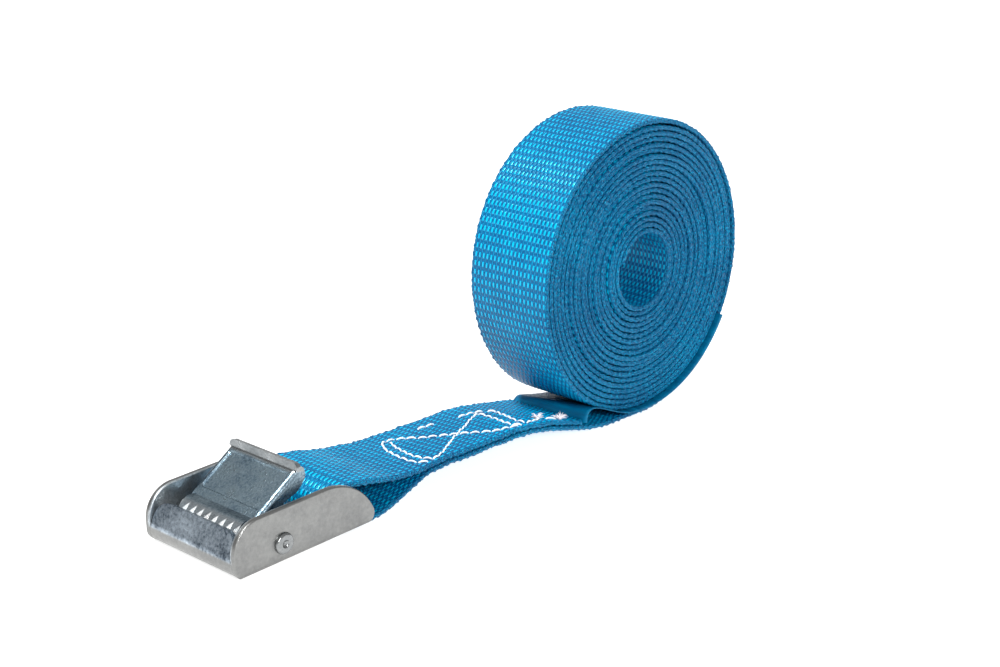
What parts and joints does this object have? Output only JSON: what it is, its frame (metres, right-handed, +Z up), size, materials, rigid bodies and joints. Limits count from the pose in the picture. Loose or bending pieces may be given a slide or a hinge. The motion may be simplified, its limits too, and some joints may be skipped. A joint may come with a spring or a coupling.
{
  "type": "cam buckle tie-down strap",
  "caption": "Rolled polyester tie-down strap with a sprung cam buckle sewn into a loop at its end; the free end threads up through the buckle and is gripped by the toothed lever.",
  "frame": {"origin": "middle of the bottom of the whole strap, on the surface that it lies on", "axes": "+X along the strap from the buckle towards the roll, +Y across the webbing, +Z up"},
  "size_m": [0.172, 0.0316, 0.0759],
  "materials": {
    "zinc_frame": "bright zinc plate, satin",
    "zinc_lever": "bright zinc plate, slightly mottled",
    "zinc_rivet": "bright zinc plate, satin",
    "spring_steel": "zinc-plated wire",
    "webbing": "woven polyester webbing, satin",
    "label_tape": "smooth satin tape",
    "thread": "sewing thread"
  },
  "bodies": {
    "strap": {"strap_loop": "webbing", "strap_run": "webbing", "strap_roll": "webbing", "label": "label_tape", "seam_thread": "thread"},
    "buckle": {"buckle_frame": "zinc_frame", "pivot_rivet": "zinc_rivet", "cam_spring": "spring_steel"},
    "lever": {"cam_lever": "zinc_lever"}
  },
  "joints": [
    {"name": "buckle_swing", "type": "hinge", "parent": "strap", "child": "buckle", "pos_m": [-0.05303, 0, 0.0052], "axis": [0, 1, 0], "range_deg": [0, 75]},
    {"name": "lever_pivot", "type": "hinge", "parent": "buckle", "child": "lever", "pos_m": [-0.07293, 0, 0.00475], "axis": [0, 1, 0], "range_deg": [0, 30], "stiffness_Nm_per_rad": 0.05, "springref_deg": -51.57, "deforming": ["cam_spring"]}
  ]
}
